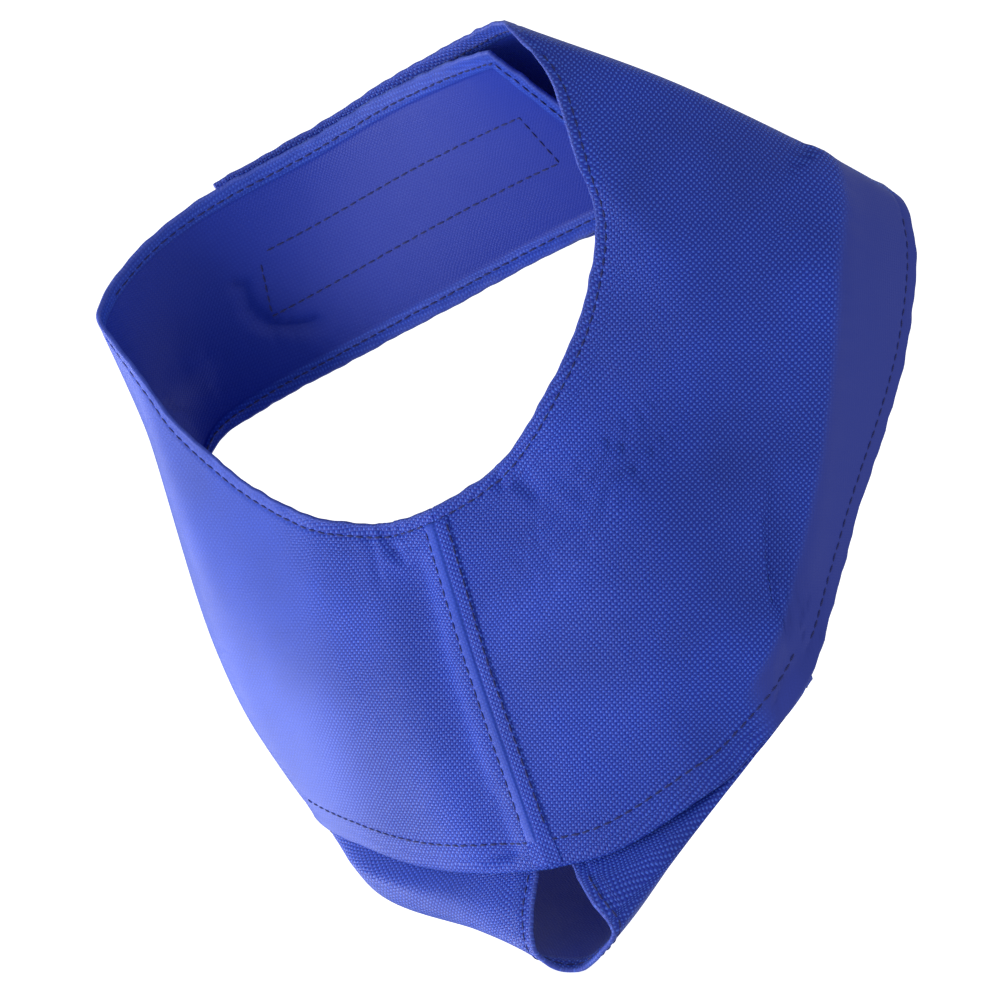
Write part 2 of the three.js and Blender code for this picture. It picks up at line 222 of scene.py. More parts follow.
def woven_nylon(look):
    """Oxford nylon: a plain weave of thick flat filament yarns, so rows of low crowns, with a soft sheen; the crowns
    are coloured with painted sheen and the valleys with painted shade.
    """
    material, tree = new_material("Oxford woven nylon")
    place = add_node(tree, "ShaderNodeUVMap", {"uv_map": "weave"})
    sway = flat_noise(tree, place, Scale=0.12, Detail=2.0)
    moved = add_node(tree, "ShaderNodeVectorMath", {"operation": "MULTIPLY_ADD"},
                     i0=sway.outputs["Color"], i1=(1.1, 1.1, 0.0), i2=place.outputs[0])
    yarns = add_node(tree, "ShaderNodeVectorMath", {"operation": "SCALE"},
                     i0=moved.outputs[0], Scale=math.pi / (look.yarn_pitch / MM))
    waves = add_node(tree, "ShaderNodeVectorMath", {"operation": "SINE"}, i0=yarns.outputs[0])
    split = add_node(tree, "ShaderNodeSeparateXYZ", None, Vector=waves.outputs[0])
    over = maths(tree, "MULTIPLY", split.outputs[0], split.outputs[1])
    soft = maths(tree, "POWER", maths(tree, "ABSOLUTE", over), 0.7)
    crown_sheen_share = mapped(tree, over, "SMOOTHSTEP", From_Min=-0.1, From_Max=0.95)
    clear = mapped(tree, share_of(tree, "smooth"), To_Min=1.0, To_Max=0.2)
    shown = add_node(tree, "ShaderNodeMix", {"data_type": "FLOAT"}, Factor=clear, i2=0.3, i3=crown_sheen_share)
    fibre = flat_noise(tree, place, Scale=2.6, Detail=3.0, Roughness=0.6).outputs[0]
    broad = flat_noise(tree, place, Scale=0.035, Detail=3.0).outputs[0]
    # painted sheen and painted shade: the crowns coloured lighter and the valleys darker, for how the two sets of
    # yarns catch the light, over the weave's own pattern
    yarn_sheen_and_shade = mix_colour(tree, shown.outputs[0], look.valley_shade_colour, look.crown_sheen_colour)
    tone = mapped(tree, broad, From_Min=0.3, From_Max=0.7, To_Min=0.9, To_Max=1.1)
    speck = mapped(tree, fibre, From_Min=0.3, From_Max=0.7, To_Min=0.86, To_Max=1.14)
    cloth = mix_colour(tree, 1.0, yarn_sheen_and_shade, maths(tree, "MULTIPLY", tone, speck), "MULTIPLY")
    worn = maths(tree, "MULTIPLY", share_of(tree, "edge"), fibre)
    rimmed = mix_colour(tree, worn, cloth, look.worn_colour)
    height = maths(tree, "MULTIPLY", maths(tree, "MULTIPLY_ADD", fibre, 0.35, soft), clear)
    bump = add_node(tree, "ShaderNodeBump", None, Height=height, Strength=0.7, Distance=0.18 * MM)
    # painted shade, with a greyish painted reflection, on the cheek flap beyond the crease, where it turns away from
    # the light
    flap = mix_colour(tree, share_of(tree, "flap_shading"), rimmed, look.flap_shade_colour)
    # painted shade on the back of the cloth, which is most of the hood's inside: darker and deeper blue
    back = mix_colour(tree, maths(tree, "MULTIPLY", share_of(tree, "coated_shaded"), 0.8), flap, look.back_shade_colour)
    return finished(material, tree, back, bump, Roughness=0.5, IOR=1.5, Sheen_Weight=0.15, Sheen_Roughness=0.3,
                    Specular_IOR_Level=0.3, Sheen_Tint=linear("#A0CCFF"))


def spun_thread(look):
    """Twisted polyester sewing thread: dark navy, matt, with the fine slanting lines of its plies."""
    material, tree = new_material("Twisted polyester sewing thread")
    place = add_node(tree, "ShaderNodeTexCoord")
    plies = add_node(tree, "ShaderNodeTexWave", {"bands_direction": "DIAGONAL"},
                     Vector=place.outputs["Object"], Scale=900.0, Distortion=1.5)
    # darker between the plies: painted shade in the grooves of the twist
    tone = mix_colour(tree, plies.outputs["Fac"], look.thread_shade_colour, look.thread_colour)
    bump = add_node(tree, "ShaderNodeBump", None, Height=plies.outputs["Fac"], Strength=0.4, Distance=0.05 * MM)
    return finished(material, tree, tone, bump, Roughness=0.75, IOR=1.5, Sheen_Weight=0.1)


def fastening_tape(look):
    """Touch-fastening tape: a ribbed woven nylon ground, dull under its pile of hooks or loops."""
    material, tree = new_material("Woven nylon touch-fastening tape")
    place = add_node(tree, "ShaderNodeTexCoord")
    ribs = add_node(tree, "ShaderNodeTexWave", {"bands_direction": "Z"},
                    Vector=place.outputs["Object"], Scale=260.0, Distortion=2.0, Detail=2.0)
    fuzz = add_node(tree, "ShaderNodeTexNoise", None, Vector=place.outputs["Object"], Scale=1400.0, Detail=3.0)
    mixed = maths(tree, "MULTIPLY", ribs.outputs["Fac"], fuzz.outputs[0])
    # darker between the ribs: painted shade in their grooves, with random tone from the fuzz
    tone = mix_colour(tree, mixed, look.tape_shade_colour, look.tape_colour)
    bump = add_node(tree, "ShaderNodeBump", None, Height=mixed, Strength=0.7, Distance=0.2 * MM)
    return finished(material, tree, tone, bump, Roughness=0.85, IOR=1.5, Sheen_Weight=0.3, Sheen_Roughness=0.5)


def stage_paper(look):
    """Matt white paper sweep, lit until it burns out."""
    material, tree = new_material("Matt white background paper")
    grain = add_node(tree, "ShaderNodeTexNoise", None, Scale=40.0)
    bump = add_node(tree, "ShaderNodeBump", None, Height=grain.outputs[0], Strength=0.02)
    return finished(material, tree, look.floor_colour, bump, Roughness=0.9, Emission_Color=(1, 1, 1, 1),
                    Emission_Strength=0.8)


MAKERS = {"cloth": woven_nylon, "thread": spun_thread, "tape": fastening_tape, "floor": stage_paper}
made_materials = {}  # one of each kind, made when it is first asked for


def material_for(kind):
    if kind not in made_materials:
        made_materials[kind] = MAKERS[kind](bpy.context.scene.hood_look)
    return made_materials[kind]


# ---------------------------------------------------------------------------------------------- surfaces

def spline_weights(count, shares):
    """Weights of count points at shares of the way along a smooth curve through them: straight if there are two."""
    place = np.clip(shares, 0, 1) * (count - 1)
    start = np.minimum(place.astype(int), count - 2)
    f = place - start
    row = np.arange(len(place))
    if count == 2:
        return np.stack([1 - f, f], 1)
    weights = np.zeros((len(place), count + 2))
    weights[row, start] = -0.5 * f + f ** 2 - 0.5 * f ** 3
    weights[row, start + 1] = 1 - 2.5 * f ** 2 + 1.5 * f ** 3
    weights[row, start + 2] = 0.5 * f + 2 * f ** 2 - 1.5 * f ** 3
    weights[row, start + 3] = 0.5 * f ** 3 - 0.5 * f ** 2
    weights[:, 1] += 2 * weights[:, 0]
    weights[:, 2] -= weights[:, 0]
    weights[:, -2] += 2 * weights[:, -1]
    weights[:, -3] -= weights[:, -1]
    return weights[:, 1:-1]


def surface_points(stations, s, t):
    """Points of the surface through the stations at each s, and at each s's own row of t."""
    across = np.einsum("ik,kmc->imc", spline_weights(len(stations), s), stations)
    weights = spline_weights(stations.shape[1], t.ravel()).reshape(*t.shape, -1)
    return np.einsum("ijm,imc->ijc", weights, across)


def walked(points):
    """Distance walked along the last but one axis of an array of points."""
    steps = np.linalg.norm(np.diff(points, axis=-2), axis=-1)
    return np.concatenate([np.zeros(steps.shape[:-1] + (1,)), np.cumsum(steps, -1)], -1)


def spread(length, near, far, middle):
    """Distances along a length: given ones near its start and its end, and evenly spaced ones between."""
    between = np.linspace(near[-1], length - far[-1], middle + 2)[1:-1]
    return np.concatenate([near, between, length - far[::-1]])


def columns_along(stations, near, far, pitch):
    """Shares along the stations that put mesh columns at even distances, measured half way down."""
    dense = np.linspace(0, 1, 801)
    half = surface_points(stations, dense, np.full((len(dense), 1), 0.5))[:, 0]
    length = walked(half)
    middle = int((length[-1] - near[-1] - far[-1]) / pitch)
    return np.interp(spread(length[-1], near, far, middle), length, dense)


def rows_across(stations, s, near, far, middle):
    """Shares across the stations that keep the edge rows at their distances, at every s."""
    dense = np.linspace(0, 1, 241)
    lengths = walked(surface_points(stations, s, np.tile(dense, (len(s), 1))))
    return np.array([np.interp(spread(one[-1], near, far, middle), one, dense) for one in lengths])


def unit(vectors):
    return vectors / np.maximum(np.linalg.norm(vectors, axis=-1, keepdims=True), 1e-12)


def normals_of(points, side):
    """Unit normals of a grid of points, turned out of the hood."""
    return unit(np.cross(np.gradient(points, axis=0), np.gradient(points, axis=1))) * side


def rise(x, low, high):
    """0 below low, 1 above high, and smooth between."""
    f = np.clip((x - low) / (high - low), 0, 1)
    return f * f * (3 - 2 * f)


def ripple(distance, periods, phase):
    """An uneven wave of height 1: sines of several periods, in millimetres, that never line up."""
    waves = [math.sin(1.7 * k + phase) * np.sin(2 * math.pi * distance / (p * MM) + 2.3 * k * phase)
             for k, p in enumerate(periods, 1)]
    return sum(waves) / len(periods)


def ridge(points, line, before, after, height, fades):
    """Height over a grid of a soft ridge, or valley, along a line of (column, row) places on it.

    before and after are its widths on the side of lower columns and rows and on the other; it fades at both ends."""
    column, row = line
    gap = np.linalg.norm(points[:, :, None] - points[column, row][None, None], axis=-1)
    near = gap.argmin(-1)
    steep = abs(column[-1] - column[0]) * 1.15 > abs(row[-1] - row[0])
    place = np.arange(points.shape[1])[None, :] if steep else np.arange(points.shape[0])[:, None]
    width = np.where(place > (row if steep else column)[near], after, before)
    share = (near + 0.5) / len(column)
    fade = rise(share, 0, fades) * rise(1 - share, 0, fades)
    return height * fade * np.exp(-(gap.min(-1) / width) ** 2)


# ---------------------------------------------------------------------------------------------- meshes

def corner_vertices(mesh):
    """The vertex at each corner of a mesh's faces."""
    corners = np.empty(len(mesh.loops), np.int32)
    mesh.loops.foreach_get("vertex_index", corners)
    return corners


def mesh_object(name, points, faces, material, uv=None, **shares):
    """A finished piece from its points and faces, with its weave map and any shares that its material reads."""
    mesh = bpy.data.meshes.new(name)
    mesh.from_pydata(points.tolist(), [], faces.tolist())
    mesh.materials.append(material)
    mesh.polygons.foreach_set("use_smooth", np.ones(len(faces), bool))
    if uv is not None:
        layer = mesh.uv_layers.new(name="weave")
        layer.data.foreach_set("uv", uv[corner_vertices(mesh)].astype(np.float32).ravel())
    for word, values in shares.items():
        layer = mesh.attributes.new(word, "FLOAT", "POINT")
        layer.data.foreach_set("value", values.astype(np.float32))
    mesh.update()
    piece = bpy.data.objects.new(name, mesh)
    bpy.context.scene.collection.objects.link(piece)
    return piece


def grid_faces(columns, rows, first=0, flip=False):
    at = first + np.arange(columns * rows).reshape(columns, rows)
    faces = np.stack([at[:-1, :-1], at[1:, :-1], at[1:, 1:], at[:-1, 1:]], -1).reshape(-1, 4)
    return faces[:, ::-1] if flip else faces


def shell(outer, inner, rim, side):
    """Points and faces of a closed cloth: its two faces, joined all round by a turned edge."""
    columns, rows = outer.shape[:2]
    count = columns * rows
    at = np.arange(count).reshape(columns, rows)
    loop = np.concatenate([at[:-1, 0], at[-1, :-1], at[:0:-1, -1], at[0, :0:-1]])
    middle = 2 * count + np.arange(len(loop))
    after = np.roll(np.arange(len(loop)), -1)
    ring_a = np.stack([loop, middle, middle[after], loop[after]], -1)
    ring_b = np.stack([middle, loop + count, loop[after] + count, middle[after]], -1)
    points = np.concatenate([outer.reshape(-1, 3), inner.reshape(-1, 3), rim.reshape(-1, 3)[loop]])
    faces = np.concatenate([grid_faces(columns, rows), grid_faces(columns, rows, count, True), ring_a, ring_b])
    return points, faces if side > 0 else faces[:, ::-1], loop


def pushed_rim(outer, inner):
    """The turned edge's own points: between the two faces, and a little past the edge."""
    middle = (outer + inner) / 2
    out = np.zeros_like(middle)
    out[0] += unit(middle[0] - middle[1])
    out[-1] += unit(middle[-1] - middle[-2])
    out[:, 0] += unit(middle[:, 0] - middle[:, 1])
    out[:, -1] += unit(middle[:, -1] - middle[:, -2])
    thick = np.linalg.norm(outer - inner, axis=-1, keepdims=True)
    return middle + unit(out) * thick * 0.45


def turned_by(flat, angle):
    """Flat points turned about their origin."""
    turn = np.array([[math.cos(angle), -math.sin(angle)], [math.sin(angle), math.cos(angle)]])
    return flat @ turn.T


def flattened(points):
    """The cloth's flat pattern, in millimetres: a coarse grid unwrapped and scaled to the cloth's own area."""
    columns, rows = points.shape[:2]
    pick_i = np.unique(np.linspace(0, columns - 1, 70).astype(int))
    pick_j = np.unique(np.linspace(0, rows - 1, 20).astype(int))
    coarse = points[np.ix_(pick_i, pick_j)]
    mesh = bpy.data.meshes.new("pattern")
    mesh.from_pydata(coarse.reshape(-1, 3).tolist(), [], grid_faces(len(pick_i), len(pick_j)).tolist())
    mesh.uv_layers.new(name="flat")
    cut = bpy.data.objects.new("pattern", mesh)
    bpy.context.scene.collection.objects.link(cut)
    bpy.ops.object.select_all(action="DESELECT")
    cut.select_set(True)
    bpy.context.view_layer.objects.active = cut
    bpy.ops.object.mode_set(mode="EDIT")
    bpy.ops.mesh.select_all(action="SELECT")
    bpy.ops.uv.unwrap(method="CONFORMAL", margin=0.0)
    bpy.ops.object.mode_set(mode="OBJECT")
    corners = corner_vertices(mesh)
    read = np.empty(len(corners) * 2, np.float32)
    mesh.uv_layers["flat"].data.foreach_get("uv", read)
    flat = np.zeros((len(mesh.vertices), 2))
    flat[corners] = read.reshape(-1, 2)
    flat = flat.reshape(len(pick_i), len(pick_j), 2)
    bpy.data.objects.remove(cut)
    bpy.data.meshes.remove(mesh)
    a, b = np.diff(flat, axis=0)[:, :-1], np.diff(flat, axis=1)[:-1]
    drawn = abs((a[..., 0] * b[..., 1] - a[..., 1] * b[..., 0]).sum())
    real = np.linalg.norm(np.cross(np.diff(coarse, axis=0)[:, :-1], np.diff(coarse, axis=1)[:-1]), axis=-1).sum()
    flat *= math.sqrt(real / drawn) / MM
    # Turned so that one set of yarns runs across the cloth, level with its first column.
    run = flat[0, -1] - flat[0, 0]
    angle = math.atan2(run[0], run[1])
    flat = turned_by(flat - flat[0, 0], angle)
    full_i = np.stack([[np.interp(np.arange(columns), pick_i, flat[:, j, c]) for c in (0, 1)]
                       for j in range(len(pick_j))])
    return np.stack([[np.interp(np.arange(rows), pick_j, full_i[:, c, i]) for c in (0, 1)]
                     for i in range(columns)]).transpose(0, 2, 1)


class Cloth:
    """One sewn cloth: the grid of its middle, its two faces, and what its weave is like over them."""

    def __init__(self, points, side, thick, hems, extra=None):
        """hems gives, for the top, the bottom, the start and the end, None or the hem's width, row and where it is."""
        self.side = side
        top = walked(points)
        along = walked(points.transpose(1, 0, 2)).T
        self.along = along
        # For the top, the bottom, the start and the end: distance from it, place along it, and the way in from it.
        edges = ((top, along, 1, 1), (top[:, -1:] - top, along, 1, -1), (along, top, 0, 1),
                 (along[-1:] - along, top, 0, -1))
        if extra is not None:
            points = points + normals_of(points, side) * extra[..., None]
        normals = normals_of(points, side)
        layer = np.zeros(points.shape[:2])
        groove = np.zeros(points.shape[:2])
        edge = np.zeros(points.shape[:2])
        shift = np.zeros_like(points)
        for hem, (distance, run, axis, way) in zip(hems, edges):
            if hem is None:
                continue
            width, row, where = hem
            layer = np.maximum(layer, where * (1 - rise(distance, width - HEM_STEP, width + HEM_STEP)))
            # The thread pulls a groove into the cloth: close and tight at each stitch, wide and uneven around.
            close = np.exp(-((distance - row) / (0.55 * MM)) ** 2)
            pull = np.cos(2 * math.pi * run / PULL_PERIOD)
            wide = np.exp(-((distance - row) / (1.6 * MM)) ** 2)
            puckers = ripple(run, (7, 11, 5), row * 900)
            groove += where * (close * 0.16 + close * 0.05 * pull + wide * 0.07 * puckers) * MM
            edge = np.maximum(edge, where * np.exp(-distance / (0.5 * MM)))
            # Past the stitches the edge is loose: it waves out of its surface, and in and out along it.
            loose = np.exp(-distance / (1.2 * MM))
            groove += where * loose * EDGE_WAVE * ripple(run, (9, 14, 23, 6), row * 700 + 1)
            inward = unit(np.gradient(points, axis=axis)) * way
            drift = where * np.exp(-distance / (1.8 * MM)) * EDGE_DRIFT
            shift += inward * (drift * (1 + ripple(run, (5, 8, 13, 31), row * 500 + 2)))[..., None]
        points = points - normals * groove[..., None] + shift
        self.normals = normals_of(points, side)
        self.edge = edge
        self.smooth = self.flap_shading = np.zeros_like(edge)
        # The back of the cloth is coated, apart from the hems, where the face side is turned in over it; the same
        # share smooths the weave there and colours it with painted shade.
        self.coated_shaded = 1 - layer
        self.middle = points
        self.outer = points + self.normals * (thick / 2)
        self.inner = points - self.normals * (thick / 2 + layer * thick * 0.5)[..., None]

    def object(self, name, weave_angle):
        """The cloth's closed mesh, with its flat pattern as the map that its weave follows."""
        points, faces, loop = shell(self.outer, self.inner, pushed_rim(self.outer, self.inner), self.side)
        flat = flattened(self.middle)
        flat = turned_by(flat, weave_angle).reshape(-1, 2)
        uv = np.concatenate([flat, flat, flat[loop]])
        shares = {}
        for word in ("edge", "smooth", "flap_shading"):
            one = getattr(self, word).ravel()
            back = np.maximum(one, COATING_FILL * self.coated_shaded.ravel()) if word == "smooth" else one
            shares[word] = np.concatenate([one, back, one[loop]])
        # the share of painted shade, on the back face only
        shares["coated_shaded"] = np.concatenate([0 * one, self.coated_shaded.ravel(), 0 * one[loop]])
        return mesh_object(name, points, faces, material_for("cloth"), uv, **shares)

    def at(self, face, i, j):
        """Points of a face of the cloth at fractional columns and rows."""
        i = np.clip(i, 0, face.shape[0] - 1.001)
        j = np.clip(j, 0, face.shape[1] - 1.001)
        a, b = i.astype(int), j.astype(int)
        f, g = (i - a)[:, None], (j - b)[:, None]
        near = face[a, b] * (1 - f) + face[a + 1, b] * f
        far = face[a, b + 1] * (1 - f) + face[a + 1, b + 1] * f
        return near * (1 - g) + far * g


cloths = {}  # those made so far, by name: the strip, the tapes and the stitches are laid on them


def half_cloth(panel, strap, side, features):
    """The grid of a face panel and its strap, cut as one cloth and turned back at the fold between them."""
    s_panel = columns_along(panel, SEAM_COLUMNS, np.array([0]), COLUMN_PITCH)
    s_strap = columns_along(strap, np.array([0]), EDGE_ROWS, COLUMN_PITCH)
    t_panel = rows_across(panel, s_panel, EDGE_ROWS, EDGE_ROWS, MIDDLE_ROWS)
    t_strap = rows_across(strap, s_strap, EDGE_ROWS, EDGE_ROWS, MIDDLE_ROWS)
    panel_grid = surface_points(panel, s_panel, t_panel)
    strap_grid = surface_points(strap, s_strap, t_strap)
    gap = panel_grid[-1] - strap_grid[0]
    strap_grid += (1 - rise(s_strap, 0, FOLD_BLEND))[:, None, None] * gap[None]
    points = np.concatenate([panel_grid, strap_grid[1:]])
    fold = len(s_panel) - 1
    for _ in range(FOLD_PASSES):
        zone = slice(fold - 4, fold + 5)
        points[zone] += 0.5 * ((points[fold - 5:fold + 4] + points[fold - 3:fold + 6]) / 2 - points[zone])
    shares = np.concatenate([s_panel, 1 + s_strap[1:]])
    depths = np.concatenate([t_panel, t_strap[1:]])
    extra = np.zeros(points.shape[:2])
    for line, before, after, height, fades in features:
        line = np.array(line, float)
        u = np.linspace(0, 1, 60)
        weights = spline_weights(len(line), u)
        s, t = (weights @ line).T
        i = np.interp(s, shares, np.arange(len(shares)))
        column = np.clip(np.round(i).astype(int), 0, len(shares) - 1)
        j = np.array([np.interp(b, depths[c], np.arange(depths.shape[1])) for b, c in zip(t, column)])
        row = np.clip(np.round(j).astype(int), 0, depths.shape[1] - 1)
        extra += ridge(points, (column, row), before * MM, after * MM, height * MM, fades)
    return points, extra, shares, depths, fold


# Soft folds of each cloth, as lines of (share along, share across), a width on each side and a height in millimetres,
# and the share of the line over which it fades at each end. Shares along past 1 are on the strap.
RIGHT_FOLDS = [
    ([(1.0, 0.575), (0.946, 0.63), (0.732, 0.655), (0.585, 0.672), (0.488, 0.681), (0.37, 0.655)],
     9.0, 5.0, 1.5, 0.12),
    ([(0.20, 0.03), (0.215, 0.07), (0.235, 0.12)], 1.4, 2.6, -0.8, 0.3),
    ([(0.16, 0.0), (0.165, 0.05)], 1.0, 1.6, -0.5, 0.3),
    ([(0.30, 0.10), (0.35, 0.35), (0.40, 0.60), (0.50, 0.92)], 28.0, 18.0, 4.2, 0.25),
]
LEFT_FOLDS = [
    ([(0.075, 0.03), (0.072, 0.30), (0.070, 0.60), (0.066, 0.93)], 3.0, 8.5, -2.1, 0.14),
    ([(0.145, 0.0), (0.135, 0.03), (0.12, 0.07)], 0.8, 1.2, -0.7, 0.15),
    ([(0.12, 0.0), (0.115, 0.035), (0.105, 0.08)], 0.8, 1.2, -0.8, 0.15),
    ([(0.095, 0.0), (0.09, 0.03)], 0.7, 0.9, -0.6, 0.15),
    ([(0.18, 0.0), (0.175, 0.05), (0.17, 0.12)], 0.9, 1.6, -0.4, 0.15),
    ([(1.428, 0.387), (1.435, 0.513), (1.445, 0.613), (1.48, 0.70), (1.555, 0.782)], 1.4, 2.4, 1.4, 0.12),
    ([(1.10, 0.55), (1.22, 0.60), (1.36, 0.72)], 5.0, 6.0, -1.2, 0.3),
]


def smoothing_and_flap_shading(word, s, t):
    """How far the weave is pressed smooth, and how much painted shade, with a greyish painted reflection, lies on the
    cheek flap, over one half of the hood.
    """
    # On the right, the cheek flap beyond the crease gets both the smoothed weave and the painted shade.
    if word == "right_cloth":
        beyond = rise(t, 0.635, 0.67) * rise(s, 0.36, 0.40) * (s <= 1)
        return beyond, beyond
    flank = rise(s, 0.24, 0.42) * (s <= 1) + 0.7 * (s > 1) + 0 * t
    return flank, np.zeros_like(flank)


def length_property(name, description, default, low, high):
    """A length that a user may set, given in millimetres and held in metres."""
    return FloatProperty(name=name, description=description, default=default * MM, min=low * MM, max=high * MM,
                         subtype="DISTANCE", unit="LENGTH")


def colour_property(name, description, default):
    """A colour that a user may set, given as an sRGB hex colour."""
    return FloatVectorProperty(name=name, description=description, default=linear(default), size=4,
                               subtype="COLOR", min=0, max=1)


class HOOD_PG_look(bpy.types.PropertyGroup):
    """Sizes and colours of the hood"""

    fabric_thickness: length_property("Fabric thickness", "Thickness of the single woven cloth", 0.7, 0.2, 1.5)
    hem_width: length_property("Hem width", "How far each hem is turned in", 4.6, 3.5, 8)
    band_width: length_property("Lower band width", "How far the lower seam is turned in", 7.0, 6.5, 10)
    yarn_pitch: length_property("Yarn pitch", "Distance between two yarns of the weave", 0.63, 0.3, 2)
    stitch_pitch: length_property("Stitch pitch", "Distance from one stitch to the next", 2.6, 1.5, 5)
    thread_width: length_property("Thread width", "Width of a sewn stitch", 0.48, 0.2, 1)
    seam_width: length_property("Centre seam width", "Width of the folded strip over the centre seam", 6, 3, 9)
    # The crowns' lighter colour is painted sheen and the valleys' darker colour is painted shade, laid over the
    # weave's pattern.
    crown_sheen_colour: colour_property("Yarn crowns", "Colour of the yarns where they lie on top", "#466EE6")
    valley_shade_colour: colour_property("Yarn valleys", "Colour of the yarns where they dip under", "#1430A8")
    # The flap's colour is painted shade, greyer for a painted reflection, on the cheek flap beyond the crease.
    flap_shade_colour: colour_property("Shaded flap", "Painted shade, greyer, on the cheek flap", "#2E3EA0")
    # The back's darker, deeper blue colour is painted shade for the inside of the hood.
    back_shade_colour: colour_property("Coated back", "Deeper colour of the coated back of the cloth", "#1A30A4")
    worn_colour: colour_property("Worn edge", "Paler colour where folded edges are rubbed", "#5566C8")
    thread_colour: colour_property("Thread", "Colour of the sewing thread", "#18267E")
    # The thread's shade colour is painted shade in the grooves between its plies.
    thread_shade_colour: colour_property("Thread shade", "Colour between the thread's plies", "#0C1454")
    tape_colour: colour_property("Tape", "Colour of the touch-fastening tape", "#2F43AE")
    # The tape's shade colour is painted shade between its ribs, with random tone from the fuzz.
    tape_shade_colour: colour_property("Tape shade", "Colour between the tape's ribs", "#18246F")
    floor_colour: colour_property("Floor", "Colour of the plain pale floor", "#F4F4F4")


class HOOD_OT_stage(bpy.types.Operator):
    """Makes the camera, the pale floor and the soft studio light"""

    bl_idname = "hood.stage"
    bl_label = "Stage"

    def execute(self, context):
        scene = context.scene
        look_from = Vector((0.75, -1.299, 0.0))
        look_at = Vector((0.00634, 0.00366, -0.0845))
        lean = math.radians(27)
        forward = (look_at - look_from).normalized()
        level = Vector((math.cos(math.radians(30)), math.sin(math.radians(30)), 0))
        up = math.sin(lean) * level + math.cos(lean) * Vector((0, 0, 1))
        right = forward.cross(up).normalized()
        up = right.cross(forward)
        data = bpy.data.cameras.new("camera")
        data.lens = 245.4
        data.sensor_width = 36
        data.clip_start, data.clip_end = 0.05, 100
        camera = bpy.data.objects.new("camera", data)
        scene.collection.objects.link(camera)
        camera.matrix_world = Matrix.Translation(look_from) @ Matrix((right, up, -forward)).transposed().to_4x4()
        scene.camera = camera

        low = CAD_BOX[0]
        bpy.ops.object.select_all(action="DESELECT")
        bpy.ops.mesh.primitive_plane_add(size=2 * STAGE_RADIUS, location=(0, 0, low.z - 2 * MM))
        floor = context.object
        floor.name = "floor"
        bpy.ops.object.transform_apply(location=True, rotation=True, scale=True)
        bpy.ops.mesh.primitive_uv_sphere_add(segments=48, ring_count=24, radius=STAGE_RADIUS)
        sky = context.object
        sky.name = "backdrop"
        for sheet in (floor, sky):
            sheet.data.materials.append(material_for("floor"))
            sheet.visible_diffuse = sheet.visible_glossy = sheet.visible_shadow = False

        middle = Vector((0, 0, -0.08))
        for name, toward, size, watts in (
            ("key", Vector((-0.99, 0.1, -0.05)), 0.8, 7.0),
            ("front", Vector((-0.73, -0.65, 0.0)), 0.8, 12.0),
            ("fill", Vector((0.8, -0.2, -0.55)), 0.8, 2.0),
        ):
            lamp = bpy.data.lights.new(name, "AREA")
            lamp.shape, lamp.size, lamp.energy = "DISK", size, watts
            light = bpy.data.objects.new(name, lamp)
            scene.collection.objects.link(light)
            place = middle + toward.normalized() * LAMP_DISTANCE
            light.location = place
            light.rotation_euler = (place - middle).to_track_quat("Z", "Y").to_euler()
        world = bpy.data.worlds.new("studio")
        world.use_nodes = True
        world.node_tree.nodes["Background"].inputs[0].default_value = (1, 1, 1, 1)
        world.node_tree.nodes["Background"].inputs[1].default_value = 0.5
        scene.world = world
        scene.view_settings.view_transform = "Standard"
        scene.view_settings.look = "None"
        return {"FINISHED"}


class HOOD_OT_face_cloths(bpy.types.Operator):
    """Makes the two halves of the hood, each a face panel and its strap in one cloth"""

    bl_idname = "hood.face_cloths"
    bl_label = "Face cloths"

    def execute(self, context):
        look = context.scene.hood_look
        halves = (
            ("right_cloth", RIGHT_STATIONS, OUTER_STRAP, RIGHT, RIGHT_FOLDS, "outer_strap_body",
             ("right_face_panel", "outer_strap"), (62.5, 1, 8), (-0.259, 0.843, 0.472)),
            ("left_cloth", LEFT_STATIONS, INNER_STRAP, LEFT, LEFT_FOLDS, "inner_strap_body",
             ("left_face_panel", "inner_strap"), (-63.5, 0, -8), (0.288, 0.804, 0.520)),
        )
        for name, panel, strap, side, folds, strap_body, nodes, hinge, across in halves:
            points, extra, shares, depths, fold = half_cloth(panel, strap, side, folds)
            on_band = (shares < CHEEK_CORNER + 0.01)[:, None]
            whole = np.ones_like(extra)
            hem = (look.hem_width, EDGE_ROWS[HEM_ROW])
            hems = ((*hem, whole), (*hem, whole * ~on_band), None, (*hem, whole))
            cloth = Cloth(points, side, look.fabric_thickness, hems, extra)
            cloth.shares, cloth.fold = shares, fold
            cloth.smooth, cloth.flap_shading = smoothing_and_flap_shading(name, shares[:, None], depths)
            cloths[name] = cloth
            piece = cloth.object(name, math.radians(20) * side)
            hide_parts(*nodes)
            hinge, across = Vector(hinge) * MM, Vector(across)
            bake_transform(piece)
        return {"FINISHED"}


